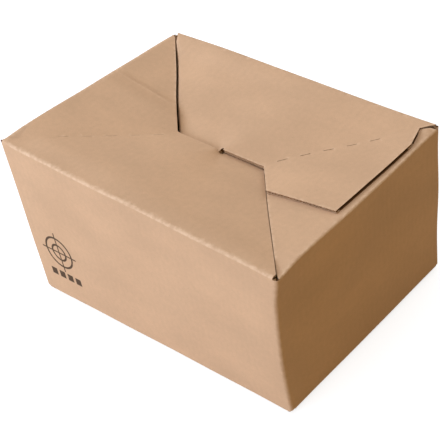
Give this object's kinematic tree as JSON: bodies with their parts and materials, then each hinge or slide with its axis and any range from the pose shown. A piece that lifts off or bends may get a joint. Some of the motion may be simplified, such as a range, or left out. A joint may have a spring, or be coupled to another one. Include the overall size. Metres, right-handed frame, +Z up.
{
  "type": "closed cardboard box",
  "caption": "Closed corrugated cardboard carton standing on its glued closing side, with an interlocking folded bottom of sloping flaps and glued tabs turned up; it holds goods for shipping",
  "frame": {"origin": "centre of the underside, on the surface that the box stands on", "axes": "+X along the long walls, +Y along the end walls away from the front, +Z up through the lock bottom, which lies on top as the box stands"},
  "size_m": [0.31, 0.23, 0.1661],
  "materials": {
    "kraft_board": "plain light brown kraft liner, matt"
  },
  "bodies": {
    "root": {"carton": "kraft_board"}
  },
  "joints": []
}
